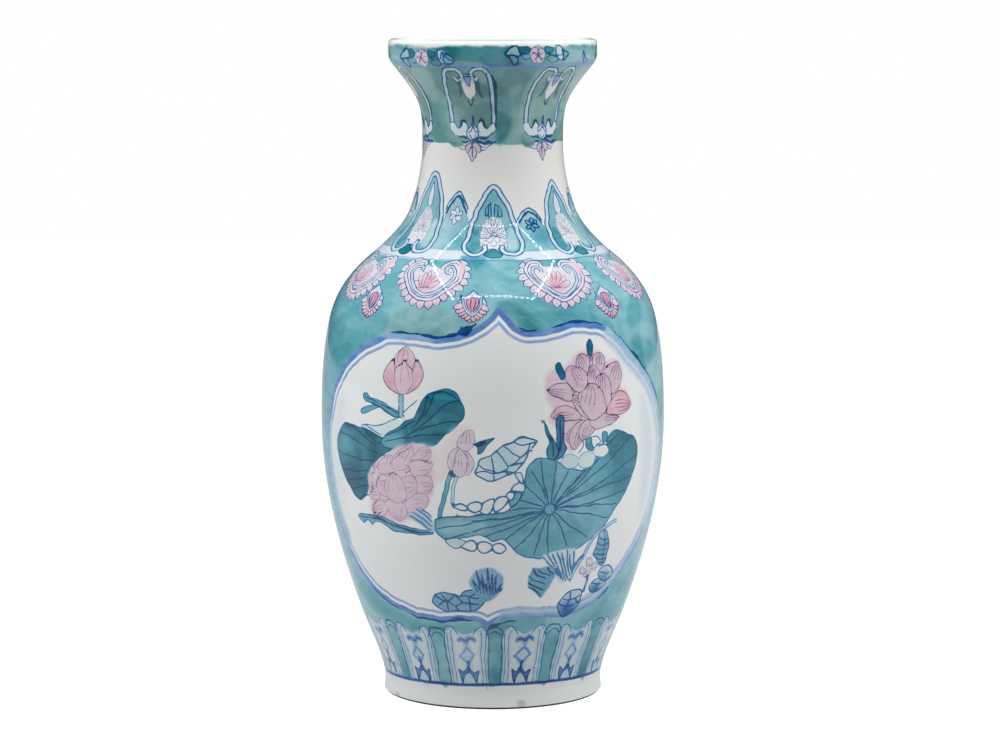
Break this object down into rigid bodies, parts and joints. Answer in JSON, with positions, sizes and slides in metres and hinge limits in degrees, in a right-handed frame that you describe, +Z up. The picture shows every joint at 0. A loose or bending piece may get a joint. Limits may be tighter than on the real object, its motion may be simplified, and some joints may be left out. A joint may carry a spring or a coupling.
{
  "type": "porcelain baluster vase",
  "caption": "Porcelain baluster vase with trumpet neck, collared mouth and ring foot, glazed and painted in teal, pink and cobalt with lotus panels; holds cut flowers or stands as ornament.",
  "frame": {"origin": "centre of the foot ring on the surface that the vase stands on", "axes": "+Z up along the turning axis, -Y the side with the painted panel that faces the viewer, +X to the viewer's right"},
  "size_m": [0.1892, 0.1892, 0.36],
  "materials": {
    "teal_glaze": "glossy clear glaze over a mottled teal wash with painted flowers and scrolls",
    "pale_teal_glaze": "glossy clear glaze over white porcelain painted in teal, pink, lavender and cobalt",
    "white_glaze": "glossy clear glaze over white porcelain, painted where the shoulder lappets rise",
    "foot_glaze": "glossy white glaze, wiped off the sole",
    "bare_porcelain": "unglazed fired porcelain, matte"
  },
  "bodies": {
    "root": {"foot_ring": "foot_glaze", "floor_disc": "bare_porcelain", "lower_belly": "pale_teal_glaze", "upper_belly": "pale_teal_glaze", "shoulder_neck": "white_glaze", "trumpet_mouth": "teal_glaze", "mouth_collar": "teal_glaze"}
  },
  "joints": []
}
